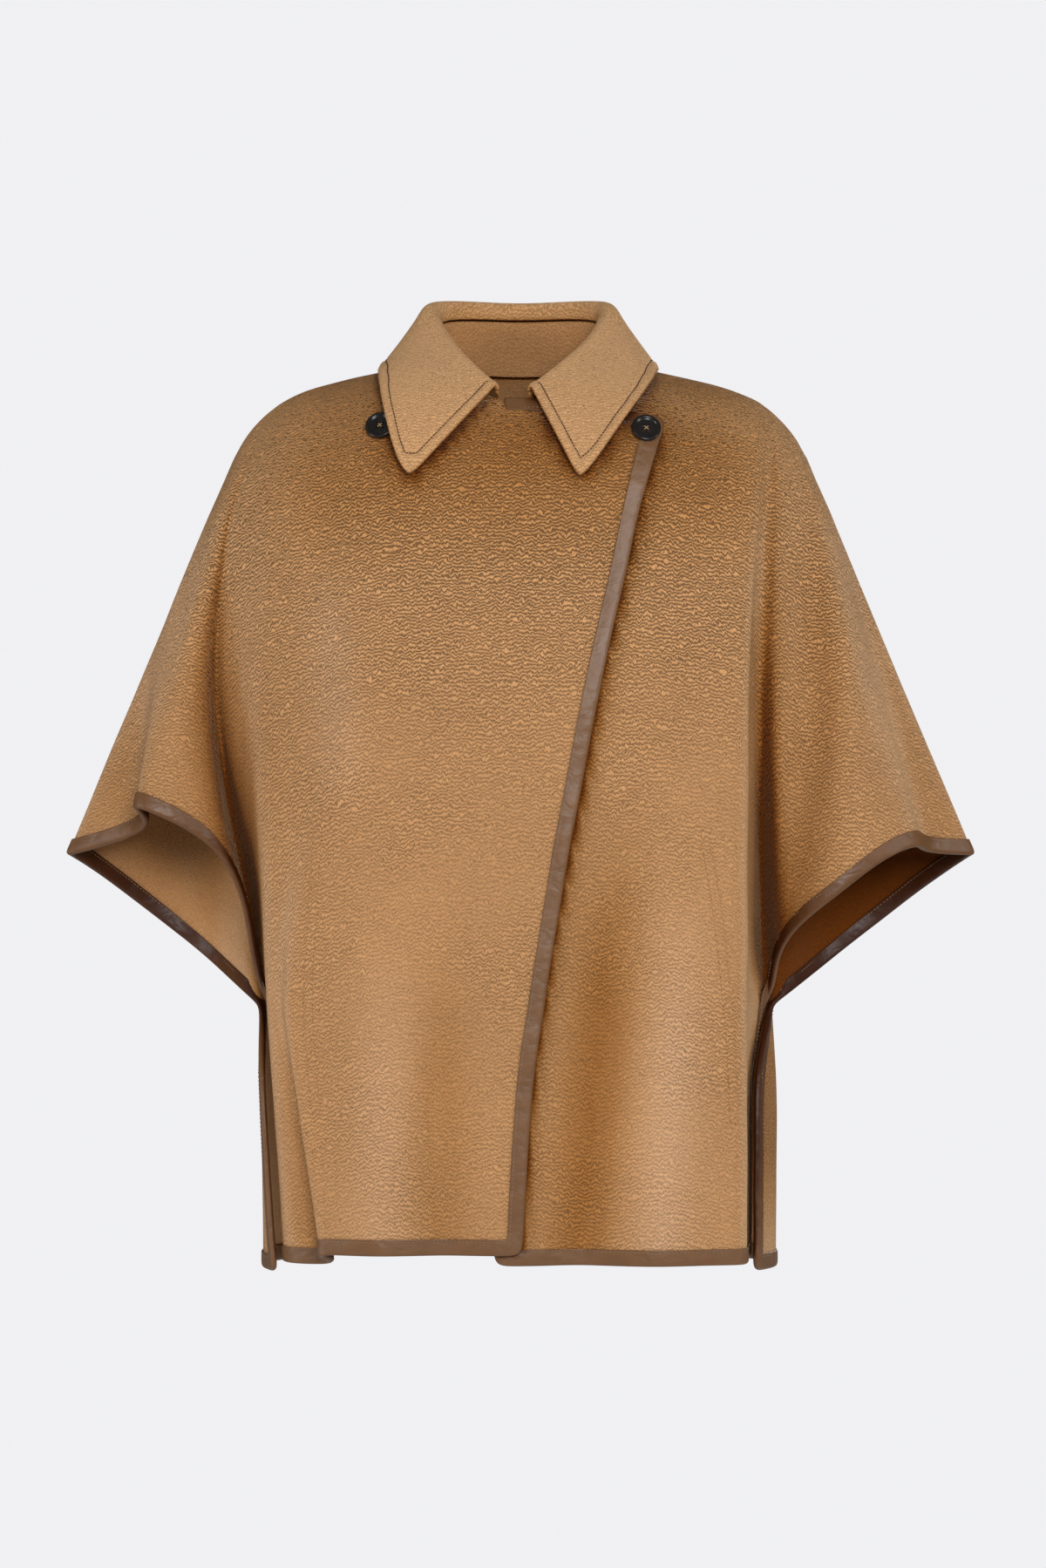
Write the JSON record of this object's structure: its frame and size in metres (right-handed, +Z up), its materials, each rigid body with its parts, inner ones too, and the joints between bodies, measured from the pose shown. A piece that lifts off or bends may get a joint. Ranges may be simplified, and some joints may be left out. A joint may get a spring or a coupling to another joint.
{
  "type": "wool cape",
  "caption": "Hip-length wool cape in its worn form: shirt collar, wrapped double-breasted front, half sleeves, open side slits and leather-bound edges.",
  "frame": {"origin": "middle of the neck opening, level with the side neck points, where the wearer's neck and shoulders hold the cape up", "axes": "+X to the wearer's left, -Y to the front, +Z up"},
  "size_m": [0.7301, 0.2408, 0.7835],
  "materials": {
    "wool": "brushed wave-nap wool",
    "collar_wool": "brushed wool",
    "leather": "satin",
    "horn": "polished"
  },
  "bodies": {
    "root": {"back": "wool", "back_edge_binding": "leather", "back_left_cuff_binding": "leather", "back_right_cuff_binding": "leather", "button_left": "horn", "button_right": "horn", "collar_fall": "collar_wool", "collar_stand": "collar_wool", "left_front": "wool", "left_front_cuff_binding": "leather", "left_front_edge_binding": "leather", "pocket_welt_left": "wool", "pocket_welt_right": "wool", "right_front": "wool", "right_front_cuff_binding": "leather", "right_front_edge_binding": "leather"}
  },
  "joints": []
}
